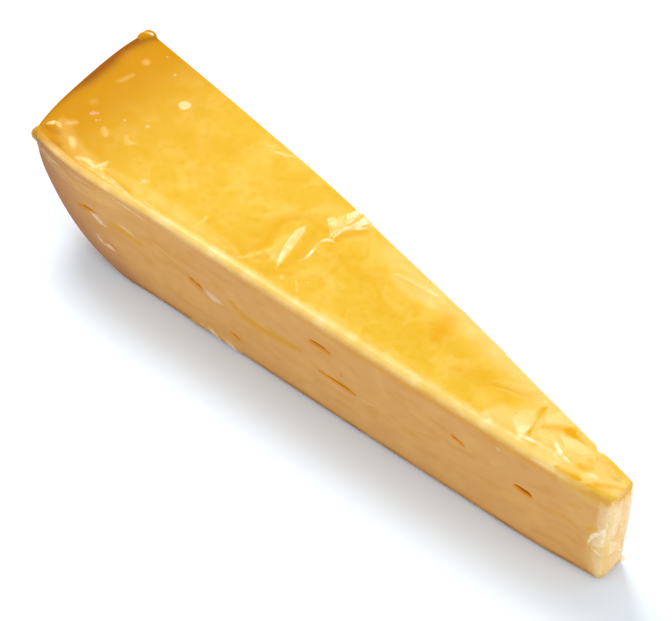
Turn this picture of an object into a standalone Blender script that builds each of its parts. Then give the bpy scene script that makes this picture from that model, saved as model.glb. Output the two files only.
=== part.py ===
"""A wedge of hard cheese in tight cling film, lying on the flat rind face of its wheel.

The rounded rind heel is at -X and the narrow tip at +X. The near cut faces -Y, the far cut +Y,
and the golden top face +Z. The origin is under the middle of the wedge, at its lowest level.
The solid is the film's outer skin: the cheese with the film's folds, gathers and flaps on it.
Distances "along" run from the heel's chord to the tip, and distances "across" from the midline.
"""

import math

import bmesh
import bpy
import numpy as np
from mathutils import Matrix, Vector

MM = 0.001

# Driving dimensions of the wedge
LENGTH = 191.3 * MM
HEIGHT = 37.7 * MM
HEEL_CENTRE = Vector((-94.4, -0.1, 0.0)) * MM

# The sides in plan, as smooth lines through a few points along and across
NEAR_SIDE = ((0, -23.7), (14, -24.7), (50, -21.2), (96, -16.6), (146, -10.9), (172, -7.7), (191, -4.2))
FAR_SIDE = ((0, 24.2), (40, 22.0), (80, 19.0), (97, 16.9), (129, 13.1), (160, 8.5), (191, 4.2))

# The rind heel: the wheel's rounded shoulder seen from the side, its rim seen from above, how far
# the foot of the near cut stands out at the tip, and the rind's low swelling under its upper edge
SHOULDER_REACH = 37.0 * MM
SHOULDER_POWERS = (1.5, 2.05)
RIM_BOW = 3.0 * MM
RIM_SKEW = 2.4 * MM
NEAR_LEAN = 0.8 * MM
RIND_BULGE = 0.8 * MM
BULGE_HEIGHT = 26.5 * MM
BULGE_REACH = 6.5 * MM

# Rounding of the wrapped edges
TOP_ROUND = 1.6 * MM
BASE_ROUND = 1.5 * MM
ARC_STEP = math.radians(22.5)

# Cells of the solid's skin along, across and up, and how long they are where the film is folded
CELLS_ALONG = 74
CELLS_ACROSS = 14
LEVELS = 11
PLAIN_CELL = 3.6 * MM
FOLDED_CELL = 1.45 * MM
FOLDED_STRETCHES = ((80.0, 11.0), (174.0, 19.0))

# Folds of the film on the top face: along and across of both ends, half width, height
TOP_FOLDS = (
    ((81.5, -10.5), (77.5, 5.5), 2.4, 0.8),
    ((84.5, -4.7), (84.3, 4.0), 1.3, 0.6),
    ((84.3, 4.0), (88.5, 16.5), 1.7, 0.9),
    ((80.5, 12.0), (87.5, 15.5), 2.8, 0.9),
    ((74.4, -15.0), (75.0, -4.0), 1.8, -0.4),
    ((158.5, -6.0), (163.5, 4.5), 2.0, 0.6),
    ((168.0, -5.5), (171.0, 5.5), 2.0, 0.8),
    ((176.5, -5.0), (178.0, 4.5), 1.6, 0.9),
    ((184.0, -3.5), (184.5, 4.0), 2.6, 1.2),
)

# Folds on the near cut: along and height of both ends, half width, height (a hollow is negative)
NEAR_FOLDS = (
    ((72.5, 21.5), (96.0, 19.8), 1.8, -0.5),
    ((65.5, 1.5), (68.5, 2.5), 2.6, 0.8),
)

# Crinkles of the tip's end: across and height of both ends, half width, height
TIP_FOLDS = (
    ((-2.0, 34.0), (1.5, 21.0), 1.3, 0.7),
    ((-3.0, 18.5), (2.5, 13.0), 1.2, 0.6),
    ((0.5, 9.5), (2.5, 4.0), 1.4, 0.5),
    ((-1.5, 1.5), (3.5, 1.5), 1.8, 0.7),
)

# Lens-shaped eyes in the near cut: along and height of both ends
EYES = (
    ((19.5, 22.3), (25.2, 23.1)),
    ((26.4, 13.9), (32.1, 11.2)),
    ((57.7, 20.4), (63.0, 19.1)),
    ((71.8, 7.6), (75.6, 6.4)),
    ((98.9, 27.7), (106.0, 27.2)),
    ((102.4, 16.7), (114.2, 16.1)),
    ((144.0, 25.1), (148.3, 24.0)),
    ((163.5, 20.1), (169.7, 19.3)),
)
EYE_DEPTH = 1.0 * MM
EYE_SLIMNESS = 0.2
FAR_EYE_SHIFT = 9.0

# Small bunches of film fused to the skin: centre, half sizes, turn about +Z in degrees
CORNER_NUB = ((-1.3, 21.9, 36.8), (3.2, 2.5, 2.2), 60.0)
EDGE_FLAP = ((87.6, 17.0, 36.9), (4.4, 1.3, 1.6), -9.0)
TIP_FLAP = ((190.8, 2.8, 2.3), (1.9, 1.2, 1.3), 20.0)
BUNCH_SEGMENTS = 16
BUNCH_RINGS = 10

WRAP_COLOUR = (0.93, 0.57, 0.09, 1.0)
WRAP_ROUGHNESS = 0.28


def smooth_line(points, along):
    """Reads a smooth cubic line through a few (along, across) points in millimetres, in metres."""
    stations, values = np.array(points, dtype=float).T * MM
    slopes = np.gradient(values, stations)
    cell = np.clip(np.searchsorted(stations, along) - 1, 0, len(stations) - 2)
    width = stations[cell + 1] - stations[cell]
    part = np.clip((along - stations[cell]) / width, 0.0, 1.0)
    rise = part * part * (3.0 - 2.0 * part)
    enter = part * (1.0 - part) ** 2 * width * slopes[cell]
    leave = part * part * (part - 1.0) * width * slopes[cell + 1]
    return values[cell] * (1.0 - rise) + values[cell + 1] * rise + enter + leave


def round_stations(radius):
    """Distances from an edge that split its quarter-round arc into even steps."""
    return radius * (1.0 - math.tan(2.0 * ARC_STEP)), radius * (1.0 - math.tan(ARC_STEP)), radius


def stations_along():
    """Places of the skin's rings along the wedge, closer where the film is folded."""
    fine = np.linspace(0.0, LENGTH, 2000)
    folded = np.zeros_like(fine)
    for middle, reach in FOLDED_STRETCHES:
        folded += np.exp(-(((fine - middle * MM) / (reach * MM)) ** 4))
    density = 1.0 / PLAIN_CELL + folded * (1.0 / FOLDED_CELL - 1.0 / PLAIN_CELL)
    total = np.concatenate(([0.0], np.cumsum((density[1:] + density[:-1]) / 2.0)))
    inner = CELLS_ALONG - 4
    even = np.interp(np.linspace(0.0, total[-1], inner + 1), total, fine)
    edge, middle, radius = round_stations(TOP_ROUND)
    inside = radius + even / LENGTH * (LENGTH - 2.0 * radius)
    start = (edge, middle)
    end = (LENGTH - middle, LENGTH - edge)
    return np.concatenate((start, inside, end))


def stations_up():
    """Levels of the skin, even along the rounded shoulder, with the top edge's arc added."""
    turn = np.linspace(0.0, math.pi / 2.0, LEVELS + 1)[:-1]
    rind = HEIGHT * (1.0 - np.cos(turn) ** (2.0 / SHOULDER_POWERS[0]))
    edge, middle, radius = round_stations(TOP_ROUND)
    return np.concatenate((rind, (HEIGHT - radius, HEIGHT - middle, HEIGHT - edge)))


def offset_across(index, width, radius):
    """Distance from the near side of line number index, where the wedge is this wide."""
    edge, middle, inner = (np.full_like(width, value) for value in round_stations(1.0))
    lines = [edge * radius, middle * radius, inner * radius]
    spread = CELLS_ACROSS - 4
    for step in range(1, spread):
        lines.append(radius + (width - 2.0 * radius) * step / spread)
    lines += [width - line for line in reversed(lines[:3])]
    return np.choose(index, lines)


def shoulder(height):
    """How far the rind stands back from its upper edge: a superellipse less a low swelling."""
    level, upright = SHOULDER_POWERS
    drop = np.clip(1.0 - height / HEIGHT, 0.0, 1.0)
    swelling = RIND_BULGE * np.exp(-(((height - BULGE_HEIGHT) / BULGE_REACH) ** 2))
    return SHOULDER_REACH * (1.0 - (1.0 - drop**upright) ** (1.0 / level)) - swelling


def distance_to_line(first, second, start, end):
    """Distance of points on a face from the straight line between two places on it."""
    start = np.array(start) * MM
    reach = np.array(end) * MM - start
    span = np.clip(((first - start[0]) * reach[0] + (second - start[1]) * reach[1]) / (reach @ reach), 0.0, 1.0)
    return np.hypot(first - start[0] - span * reach[0], second - start[1] - span * reach[1])


def relief(first, second, folds):
    """Height of a face's folds: each is a rounded ridge along its line, fading to both sides."""
    height = np.zeros_like(first)
    for start, end, half_width, ridge in folds:
        distance = distance_to_line(first, second, start, end)
        height += ridge * MM * np.exp(-((distance / (half_width * MM)) ** 2))
    return height


def round_edges(place, inset, outward, radius):
    """Pulls the skin in to a round arc along every edge.

    inset is each point's distance inside the three pairs of faces, and outward the signs of
    the nearest ones. A point that lies within the radius of two or three faces moves onto the
    arc, or onto the ball at a corner.
    """
    excess = np.clip(radius[:, None] - inset, 0.0, None)
    reach = np.linalg.norm(excess, axis=1)
    shrink = np.where(reach > 0.0, radius / np.maximum(reach, radius) - 1.0, 0.0)
    return place + outward * excess * shrink[:, None]


def wedge_points(along_index, across_index, up_index):
    """Turns the box's lattice numbers into points of the wrapped wedge, in metres."""
    straight = stations_along()[along_index]
    height = stations_up()[up_index]
    share = across_index / CELLS_ACROSS * 2.0 - 1.0
    rim = -RIM_SKEW * share - RIM_BOW * (1.0 - np.abs(share) ** 3)
    heel = rim + shoulder(height)
    along = heel + straight / LENGTH * (LENGTH - heel)
    near = smooth_line(NEAR_SIDE, along) - NEAR_LEAN * (along / LENGTH) ** 2 * (1.0 - height / HEIGHT)
    width = smooth_line(FAR_SIDE, along) - near
    radius = np.where(height > HEIGHT / 2.0, TOP_ROUND, BASE_ROUND)
    radius = np.minimum(radius, width * 0.3)
    offset = offset_across(across_index, width, radius)
    inset = np.stack(
        (
            np.minimum(straight, LENGTH - straight),
            np.minimum(offset, width - offset),
            np.minimum(height, HEIGHT - height),
        ),
        axis=1,
    )
    outward = np.stack(
        (
            np.where(straight < LENGTH / 2.0, -1.0, 1.0),
            np.where(offset < width / 2.0, -1.0, 1.0),
            np.where(height < HEIGHT / 2.0, -1.0, 1.0),
        ),
        axis=1,
    )
    across = near + offset
    place = round_edges(np.stack((along, across, height), axis=1), inset, outward, radius)
    on_top = up_index == up_index.max()
    on_near = (across_index == 0) & (up_index > 0)
    on_tip = (along_index == along_index.max()) & (up_index > 0)
    place[:, 2] += np.where(on_top, relief(along, across, TOP_FOLDS), 0.0)
    place[:, 1] -= np.where(on_near, relief(along, height, NEAR_FOLDS), 0.0)
    place[:, 0] += np.where(on_tip, relief(across, height, TIP_FOLDS), 0.0)
    return place + np.array(HEEL_CENTRE)


def lattice_box(cells):
    """A unit cube whose faces are cut into even cells along each axis."""
    box = bmesh.new()
    bmesh.ops.create_cube(box, size=1.0)
    for axis, count in enumerate(cells):
        along = [edge for edge in box.edges if abs(edge.verts[0].co[axis] - edge.verts[1].co[axis]) > 0.5]
        bmesh.ops.subdivide_edges(box, edges=along, cuts=count - 1, use_grid_fill=True)
    return box


def make_collection(name):
    """A collection under the scene's own."""
    collection = bpy.data.collections.new(name)
    bpy.context.scene.collection.children.link(collection)
    return collection


def add_object(name, shape, collection):
    """Turns a bmesh into a named object in a collection."""
    mesh = bpy.data.meshes.new(name)
    shape.to_mesh(mesh)
    shape.free()
    item = bpy.data.objects.new(name, mesh)
    collection.objects.link(item)
    return item


def build_wedge(name, collection):
    """The wrapped wedge: a box lattice bent to the heel's curves, the sides and the folds."""
    cells = (CELLS_ALONG, CELLS_ACROSS, len(stations_up()) - 1)
    box = lattice_box(cells)
    unit = np.array([vertex.co for vertex in box.verts])
    index = np.rint((unit + 0.5) * np.array(cells)).astype(int)
    for vertex, point in zip(box.verts, wedge_points(*index.T)):
        vertex.co = point
    bmesh.ops.recalc_face_normals(box, faces=box.faces)
    return add_object(name, box, collection)


def add_ellipsoid(name, centre, half_sizes, turn, collection):
    """A ball stretched to three half sizes, turned and placed."""
    ball = bmesh.new()
    bmesh.ops.create_uvsphere(ball, u_segments=BUNCH_SEGMENTS, v_segments=BUNCH_RINGS, radius=1.0)
    matrix = Matrix.Translation(centre) @ turn @ Matrix.Diagonal((*half_sizes, 1.0))
    bmesh.ops.transform(ball, matrix=matrix, verts=ball.verts)
    return add_object(name, ball, collection)


def add_bunch(name, centre, half_sizes, degrees, collection):
    """A small bunch of film, from sizes in millimetres measured from the heel's chord."""
    place = Vector(centre) * MM + HEEL_CENTRE
    sizes = [size * MM for size in half_sizes]
    return add_ellipsoid(name, place, sizes, Matrix.Rotation(math.radians(degrees), 4, "Z"), collection)


def add_eye(name, start, end, side, collection):
    """A lens-shaped cutter that lies in one cut face, along that face's own direction."""
    points = []
    for along, height in (start, end):
        across = float(smooth_line(side, np.array([along * MM]))[0])
        points.append(Vector((along * MM, across, height * MM)) + HEEL_CENTRE)
    reach = points[1] - points[0]
    turn = reach.to_track_quat("X", "Z").to_matrix().to_4x4()
    half = reach.length / 2.0
    sizes = (half, EYE_DEPTH, EYE_SLIMNESS * half)
    return add_ellipsoid(name, (points[0] + points[1]) / 2.0, sizes, turn, collection)


def far_eye(place):
    """Where the far cut has an eye: the near cut's pattern, run back from the tip and upside down."""
    along, height = place
    return LENGTH / MM + FAR_EYE_SHIFT - along, HEIGHT / MM - height


def fuse(item, collection):
    """Joins every object of a collection to the item by one Boolean union, then removes them."""
    union = item.modifiers.new("film_bunches", "BOOLEAN")
    union.operation = "UNION"
    union.operand_type = "COLLECTION"
    union.collection = collection
    bpy.context.view_layer.update()
    shape = item.evaluated_get(bpy.context.evaluated_depsgraph_get())
    joined = bpy.data.meshes.new_from_object(shape)
    item.modifiers.clear()
    item.data = joined
    for part in list(collection.objects):
        bpy.data.objects.remove(part)
    bpy.data.collections.remove(collection)


def cut_eyes(item):
    """Cuts the eyes of both cut faces into the wedge with one Boolean difference."""
    cutters = make_collection("eye_cutters")
    for number, (start, end) in enumerate(EYES):
        add_eye(f"near_eye_{number}", start, end, NEAR_SIDE, cutters)
        add_eye(f"far_eye_{number}", far_eye(end), far_eye(start), FAR_SIDE, cutters)
    for cutter in cutters.objects:
        cutter.hide_render = True
        cutter.display_type = "WIRE"
    cut = item.modifiers.new("eyes", "BOOLEAN")
    cut.operation = "DIFFERENCE"
    cut.operand_type = "COLLECTION"
    cut.collection = cutters


def wrap_material():
    """Golden paste seen through clear film, as one finish."""
    material = bpy.data.materials.new("wrapped_cheese")
    material.use_nodes = True
    shader = material.node_tree.nodes["Principled BSDF"]
    shader.inputs["Base Color"].default_value = WRAP_COLOUR
    shader.inputs["Roughness"].default_value = WRAP_ROUGHNESS
    shader.inputs["Metallic"].default_value = 0.0
    return material


def main():
    """Builds the wrapped wedge of cheese as one solid."""
    for item in list(bpy.data.objects):
        bpy.data.objects.remove(item)
    parts = make_collection("wrapped_cheese_wedge")
    wedge = build_wedge("cheese_block", parts)
    bunches = make_collection("film_bunches")
    add_bunch("corner_nub", *CORNER_NUB, bunches)
    add_bunch("edge_flap", *EDGE_FLAP, bunches)
    add_bunch("tip_flap", *TIP_FLAP, bunches)
    fuse(wedge, bunches)
    cut_eyes(wedge)
    wedge.data.shade_smooth()
    wedge.data.materials.clear()
    wedge.data.materials.append(wrap_material())


main()
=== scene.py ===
"""Looks of a wrapped wedge of hard cheese: its paste, its clear cling film and the film's folds.

Lengths are millimetres in the wedge's own frame, unless a name says otherwise: along, from the
heel's chord to the tip; across, from the midline to the far cut; and height above the ground.
"""

import logging
import math
from dataclasses import dataclass, field, replace
from enum import Enum
from typing import Mapping, Sequence

import bpy
import numpy as np
from mathutils import Matrix, Vector


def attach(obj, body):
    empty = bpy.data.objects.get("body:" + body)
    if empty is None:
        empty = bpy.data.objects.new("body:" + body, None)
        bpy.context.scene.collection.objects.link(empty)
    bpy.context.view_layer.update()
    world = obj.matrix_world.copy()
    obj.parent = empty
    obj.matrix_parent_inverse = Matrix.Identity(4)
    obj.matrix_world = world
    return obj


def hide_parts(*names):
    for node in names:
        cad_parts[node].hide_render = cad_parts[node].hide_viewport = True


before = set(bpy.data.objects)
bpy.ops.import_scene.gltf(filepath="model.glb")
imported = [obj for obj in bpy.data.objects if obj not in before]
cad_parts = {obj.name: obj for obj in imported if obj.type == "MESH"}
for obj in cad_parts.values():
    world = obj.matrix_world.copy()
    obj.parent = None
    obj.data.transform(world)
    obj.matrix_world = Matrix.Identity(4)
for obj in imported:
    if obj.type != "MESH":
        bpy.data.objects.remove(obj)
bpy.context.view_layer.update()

Array = np.ndarray
Pair = tuple[float, float]
Triple = tuple[float, float, float]
Cells = tuple[int, int, int]
Path = tuple[Pair, ...]
Colour = tuple[int, int, int]

MM = 0.001
NODE = "cheese_block"
BODY = "root"
log = logging.getLogger("wedge")

# A point this near a face lies on it.
TOUCHING = 1e-6
# Copies on the far cut are moved this far to the tip, and stay clear of the heel and the tip.
FAR_SHIFT = 9.0
FAR_START = 12.0
FAR_END = 2.0


def linear(colour: Colour) -> tuple[float, float, float, float]:
    """Turns a screen colour of 0 to 255 into the linear colour that shaders use.

    Args:
        colour: red, green and blue as a screen shows them.

    Returns:
        Red, green, blue and an alpha of one, linear.
    """
    share = np.array(colour) / 255.0
    value = np.where(share <= 0.04045, share / 12.92, ((share + 0.055) / 1.055) ** 2.4)
    return (*(float(part) for part in value), 1.0)


def smooth(low: float, high: float, value: Array) -> Array:
    """Rises from 0 at low to 1 at high along a smooth S; low may be above high."""
    share = np.clip((value - low) / (high - low), 0.0, 1.0)
    return share * share * (3.0 - 2.0 * share)


def fade(least: float, ends: Pair, value: Array) -> Array:
    """Rises from least at the first end to 1 at the second along a smooth S."""
    return least + (1.0 - least) * smooth(*ends, value)


def rotated(first: Array, second: Array, degrees: float) -> tuple[Array, Array]:
    """Turns two coordinates about the origin, from the first axis towards the second."""
    turn = math.radians(degrees)
    ahead = first * math.cos(turn) - second * math.sin(turn)
    return ahead, first * math.sin(turn) + second * math.cos(turn)


def smooth_line(points: Sequence[Pair], place: Array) -> Array:
    """Reads a smooth cubic line through a few points.

    The line between two points is the cubic whose ends have the points' values and the slopes of
    their neighbours' chords.

    Args:
        points: (place, value) pairs in rising order.
        place: where the line is read.

    Returns:
        The line's values.
    """
    stations, values = np.array(points, dtype=float).T
    slopes = np.gradient(values, stations)
    cell = np.clip(np.searchsorted(stations, place) - 1, 0, len(stations) - 2)
    width = stations[cell + 1] - stations[cell]
    part = np.clip((place - stations[cell]) / width, 0.0, 1.0)
    rise = smooth(0.0, 1.0, part)
    enter = part * (1.0 - part) ** 2 * width * slopes[cell]
    leave = part * part * (part - 1.0) * width * slopes[cell + 1]
    return values[cell] * (1.0 - rise) + values[cell + 1] * rise + enter + leave


def distances(points: Array) -> Array:
    """Distance walked along a path to each of its points."""
    return np.append(0.0, np.cumsum(np.linalg.norm(np.diff(points, axis=0), axis=1)))


def smooth_path(points: Path, count: int) -> Array:
    """Samples a smooth curve through points.

    Each coordinate is a smooth line over the distance walked from point to point.

    Args:
        points: the points that the curve passes.
        count: how many samples, evenly spaced along the points.

    Returns:
        An array of count rows.
    """
    knots = np.array(points, dtype=float)
    walked = distances(knots)
    place = np.linspace(0.0, walked[-1], count)
    return np.stack([smooth_line(list(zip(walked, column)), place) for column in knots.T], axis=1)


def drift(first: Array, second: Array, size: float, seed: int) -> Array:
    """Soft noise over two coordinates, from -1 to 1.

    Random values stand on a square grid of the given cell size, and the noise between them is
    mixed by an S curve in both directions.

    Args:
        first: first coordinate of every point.
        second: second coordinate of every point.
        size: cell size of the grid.
        seed: picks the random values.

    Returns:
        The noise at every point.
    """
    values = np.random.default_rng(seed).uniform(-1.0, 1.0, (64, 64))
    column = first / size
    row = second / size
    left = np.floor(column).astype(int)
    low = np.floor(row).astype(int)
    across = smooth(0.0, 1.0, column - left)
    up = smooth(0.0, 1.0, row - low)
    corner = [values[(left + i) % 64, (low + j) % 64] for i in (0, 1) for j in (0, 1)]
    bottom = corner[0] * (1.0 - across) + corner[2] * across
    top = corner[1] * (1.0 - across) + corner[3] * across
    return bottom * (1.0 - up) + top * up


def zigzag(value: Array) -> Array:
    """A triangle wave of period 1: 0 at whole numbers and 1 halfway between them."""
    return 2.0 * np.abs(value - np.floor(value + 0.5))


def facets(first: Array, second: Array, size: float, angle: float, seed: int) -> Array:
    """Crumpled film as flat facets with sharp creases, from 0 to 1.

    Two triangle waves cross each other, their lines bent by soft noise, and the first one also
    shifts the second, so that no two creases run alike.

    Args:
        first: first coordinate of every point.
        second: second coordinate of every point.
        size: distance between two creases.
        angle: degrees from the first axis to the direction across the creases.
        seed: picks the noise.

    Returns:
        The height of the facets at every point.
    """
    across, down = rotated(first, second, -angle)
    wave = zigzag(across / size + 0.5 * drift(first, second, 2.3 * size, seed))
    bent = 0.4 * wave + 0.5 * drift(second, first, 2.9 * size, seed + 1)
    cross = zigzag(down / (1.9 * size) + bent)
    return 0.6 * wave + 0.4 * cross


class Face(Enum):
    """The faces of the wedge that carry marks: the axis that each looks along, and which way.

    Places are along and across on the top and the base, across and height on the tip, and along
    and height on the two cuts.
    """

    TOP = (2, 1.0)
    NEAR = (1, -1.0)
    FAR = (1, 1.0)
    TIP = (0, 1.0)
    BASE = (2, -1.0)


@dataclass(frozen=True)
class Mark:
    """A fold, facet, hollow, streak or spot on one face, along a path through a few points.

    Its strength is 1 along the path and falls to 0 at half_width; soft is the share of the width
    over which it falls. The width itself tapers to both ends like an ellipse. lift is how far it
    raises the skin; the next number is how white it turns the film, as milky film and partly as a
    painted highlight; the one after is how much painted shade it puts on the paste beneath, deeper
    gold under the film's valleys and creases. facet, angle and seed are the size, angle and seed of
    its facets; a size of 0 leaves it plain.
    """

    face: Face
    path: Path
    half_width: float
    lift: float = 0.0
    milk_and_highlight: float = 0.0
    valley_shade: float = 0.0
    soft: float = 1.0
    facet: float = 0.0
    angle: float = 30.0
    seed: int = 5

    def strength(self, first: Array, second: Array) -> Array:
        """How strong the mark is at points of its face, from 0 to 1.

        Args:
            first: first coordinate of the points.
            second: second coordinate of the points.

        Returns:
            The strength at every point.
        """
        envelope = self.envelope(first, second)
        if self.facet == 0.0:
            return envelope
        inside = envelope > 0.0
        envelope[inside] *= facets(first[inside], second[inside], self.facet, self.angle, self.seed)
        return envelope

    def envelope(self, first: Array, second: Array) -> Array:
        """The mark's outline, from 0 outside to 1 along its path.

        Args:
            first: first coordinate of the points.
            second: second coordinate of the points.

        Returns:
            The share of the mark at every point.
        """
        reach = self.half_width
        if len(self.path) == 1:
            share = np.hypot(first - self.path[0][0], second - self.path[0][1]) / reach
            return smooth(1.0, 1.0 - self.soft, share)
        curve = smooth_path(self.path, 8 * len(self.path))
        box = (curve.min(axis=0) - reach, curve.max(axis=0) + reach)
        close = (first > box[0][0]) & (first < box[1][0])
        close &= (second > box[0][1]) & (second < box[1][1])
        result = np.zeros_like(first)
        spot = np.stack((first[close], second[close]), axis=1)
        step = np.diff(curve, axis=0)
        walked = distances(curve)
        best = np.full(len(spot), np.inf)
        travelled = np.zeros(len(spot))
        for start, way, long, before in zip(curve, step, np.diff(walked), walked):
            rest = spot - start
            span = np.clip(rest @ way / (way @ way), 0.0, 1.0)
            gap = np.linalg.norm(rest - span[:, None] * way, axis=1)
            nearer = gap < best
            best = np.where(nearer, gap, best)
            travelled = np.where(nearer, before + span * long, travelled)
        middle = 2.0 * travelled / walked[-1] - 1.0
        taper = reach * (0.3 + 0.7 * np.sqrt(np.clip(1.0 - middle**2, 0.0, 1.0)))
        result[close] = smooth(1.0, 1.0 - self.soft, best / taper)
        return result


@dataclass(frozen=True)
class Lattice:
    """A closed box of points numbered along, across and up, with its quads facing out."""

    cells: Cells

    def build(self) -> tuple[Array, Array]:
        """Numbers the box's outer points and joins them to quads.

        Returns:
            The points' three numbers, one row each, and the quads' four point indices.
        """
        shape = tuple(count + 1 for count in self.cells)
        outer = np.zeros(shape, dtype=bool)
        for axis in range(3):
            for side in (0, -1):
                outer[(slice(None),) * axis + (side,)] = True
        order = np.full(shape, -1)
        order[outer] = np.arange(outer.sum())
        quads = []
        for axis in range(3):
            for side in (0, -1):
                plane = np.take(order, side, axis=axis)
                corners = (plane[:-1, :-1], plane[1:, :-1], plane[1:, 1:], plane[:-1, 1:])
                quad = np.stack(corners, axis=-1).reshape(-1, 4)
                inward = (side == 0) != (axis == 1)
                quads.append(quad[:, ::-1] if inward else quad)
        return np.argwhere(outer), np.concatenate(quads)

    def ball(self) -> tuple[Array, Array]:
        """Pushes the box's points out to a unit ball, spaced evenly by angle.

        Returns:
            The points, and the quads' four point indices.
        """
        index, quads = self.build()
        cube = np.tan((index / self.cells * 2.0 - 1.0) * math.pi / 4.0)
        return cube / np.linalg.norm(cube, axis=1, keepdims=True), quads


@dataclass(frozen=True)
class WedgeForm:
    """The wedge's form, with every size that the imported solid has, less an inset for the paste.

    A folded zone is given by its middle and half length, and edge_share is the most of a thin
    place's width that the rounding of one edge takes.
    """

    length: float = 191.3
    height: float = 37.7
    heel_along: float = -94.4
    heel_across: float = -0.1
    near_side: Path = (
        (0, -23.7), (14, -24.7), (50, -21.2), (96, -16.6), (146, -10.9), (172, -7.7), (191, -4.2),
    )
    far_side: Path = ((0, 24.2), (40, 22.0), (80, 19.0), (97, 16.9), (129, 13.1), (160, 8.5), (191, 4.2))
    shoulder_reach: float = 37.0
    shoulder_powers: Pair = (1.5, 2.05)
    rim_bow: float = 3.0
    rim_skew: float = 2.4
    near_lean: float = 0.8
    rind_bulge: float = 0.8
    bulge_height: float = 26.5
    bulge_reach: float = 6.5
    top_round: float = 1.6
    base_round: float = 1.5
    edge_share: float = 0.3
    arc_lines: int = 4
    folded_zones: tuple[Pair, ...] = ((81.0, 14.0), (174.0, 22.0))
    level_growth: float = 0.25
    inset: float = 0.0

    def arc(self, radius: float) -> Array:
        """Distances from an edge of the lines that split its round arc evenly."""
        turn = np.linspace(math.pi / 4.0, 0.0, self.arc_lines)
        return radius * (1.0 - np.tan(turn))

    def stations_along(self, cells: int, plain: float, folded: float) -> Array:
        """Places of the rings along the wedge, closer where the film is folded.

        The rings' density is that of a plain cell, rising to that of a folded cell over the
        folded zones: the fold in the middle and the gathers at the tip.

        Args:
            cells: number of cells along the wedge.
            plain: length of a cell where the film is smooth.
            folded: length of a cell where it is folded.

        Returns:
            The rings' places, from the heel to the tip.
        """
        fine = np.linspace(0.0, self.length, 4000)
        crowd = sum(np.exp(-(((fine - middle) / half) ** 4)) for middle, half in self.folded_zones)
        density = 1.0 / plain + crowd * (1.0 / folded - 1.0 / plain)
        total = np.concatenate(([0.0], np.cumsum((density[1:] + density[:-1]) / 2.0)))
        inner = cells - 2 * (self.arc_lines - 1)
        even = np.interp(np.linspace(0.0, total[-1], inner + 1), total, fine)
        arc = self.arc(self.top_round)
        inside = self.top_round + even / self.length * (self.length - 2.0 * self.top_round)
        return np.concatenate((arc[:-1], inside, self.length - arc[-2::-1]))

    def stations_up(self, cells: int) -> Array:
        """Levels of the skin, a little closer near the ground, with the top edge's arc added."""
        arc = self.arc(self.top_round)
        share = np.linspace(0.0, 1.0, cells - self.arc_lines + 2)
        levels = (self.height - self.top_round) * share * (1.0 + self.level_growth * (share - 1.0))
        return np.concatenate((levels, self.height - arc[-2::-1]))

    def offset_across(self, index: Array, width: Array, radius: Array, cells: int) -> Array:
        """Distance of each point's line from the near side: rounding lines, then even ones."""
        unit = np.append(self.arc(1.0), 0.0)
        back = cells - index
        low = unit[np.minimum(index, self.arc_lines)] * radius
        high = width - unit[np.minimum(back, self.arc_lines)] * radius
        even = (index - self.arc_lines + 1) / (cells - 2 * (self.arc_lines - 1))
        middle = radius + (width - 2.0 * radius) * even
        return np.where(index < self.arc_lines, low, np.where(back < self.arc_lines, high, middle))

    def shoulder(self, height: Array) -> Array:
        """How far the rind stands back from its upper edge: a superellipse less a low swelling."""
        level, upright = self.shoulder_powers
        drop = np.clip(1.0 - height / self.height, 0.0, 1.0)
        swelling = self.rind_bulge * np.exp(-(((height - self.bulge_height) / self.bulge_reach) ** 2))
        return self.shoulder_reach * (1.0 - (1.0 - drop**upright) ** (1.0 / level)) - swelling

    def near(self, along: Array, height: Array) -> Array:
        """Across place of the near cut, whose foot leans out towards the tip."""
        lean = self.near_lean * (along / self.length) ** 2 * (1.0 - height / self.height)
        return smooth_line(self.near_side, along) - lean + self.inset

    def far(self, along: Array) -> Array:
        """Across place of the far cut."""
        return smooth_line(self.far_side, along) - self.inset

    def skin(self, cells: Cells, along_cells: Pair) -> tuple["Skin", Array]:
        """Bends a box lattice to the wedge's form.

        The rings are sheared back along the rind's shoulder, the lines across are spread between
        the two cuts, and each point near an edge is pulled in to a round arc: the part of its
        distance that lies inside the radius of two or three faces is scaled to the radius.

        Args:
            cells: the lattice's cells along, across and up.
            along_cells: length of a plain and of a folded cell.

        Returns:
            The skin's points with their face coordinates, and the quads' four point indices.
        """
        index, quads = Lattice(cells).build()
        straight = self.stations_along(cells[0], *along_cells)[index[:, 0]]
        height = self.stations_up(cells[2])[index[:, 2]]
        share = index[:, 1] / cells[1] * 2.0 - 1.0
        rim = -self.rim_skew * share - self.rim_bow * (1.0 - np.abs(share) ** 3)
        heel = rim + self.shoulder(height)
        along = heel + straight / self.length * (self.length - heel)
        near = self.near(along, height)
        width = self.far(along) - near
        radius = np.where(height > self.height / 2.0, self.top_round, self.base_round)
        radius = np.minimum(radius, width * self.edge_share)
        offset = self.offset_across(index[:, 1], width, radius, cells[1])
        sides = (
            (straight, self.length - straight),
            (offset, width - offset),
            (height, self.height - height),
        )
        inside = np.stack([np.minimum(low, high) for low, high in sides], axis=1)
        outward = np.stack([np.where(low < high, -1.0, 1.0) for low, high in sides], axis=1)
        excess = np.clip(radius[:, None] - inside, 0.0, None)
        reach = np.linalg.norm(excess, axis=1)
        shrink = np.where(reach > 0.0, radius / np.maximum(reach, radius) - 1.0, 0.0)
        place = np.stack((along, near + offset, height), axis=1) + outward * excess * shrink[:, None]
        for axis in (0, 2):
            place[:, axis] -= outward[:, axis] * self.inset * (inside[:, axis] < TOUCHING)
        return Skin(place, along, near + offset, height, straight, inside, outward), quads

    def edge_drop(self, gap: Array) -> Array:
        """How far a face has rounded away at a distance from its edge."""
        radius = self.top_round
        return radius - np.sqrt(radius**2 - (radius - np.clip(gap, 0.0, radius)) ** 2)

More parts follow.
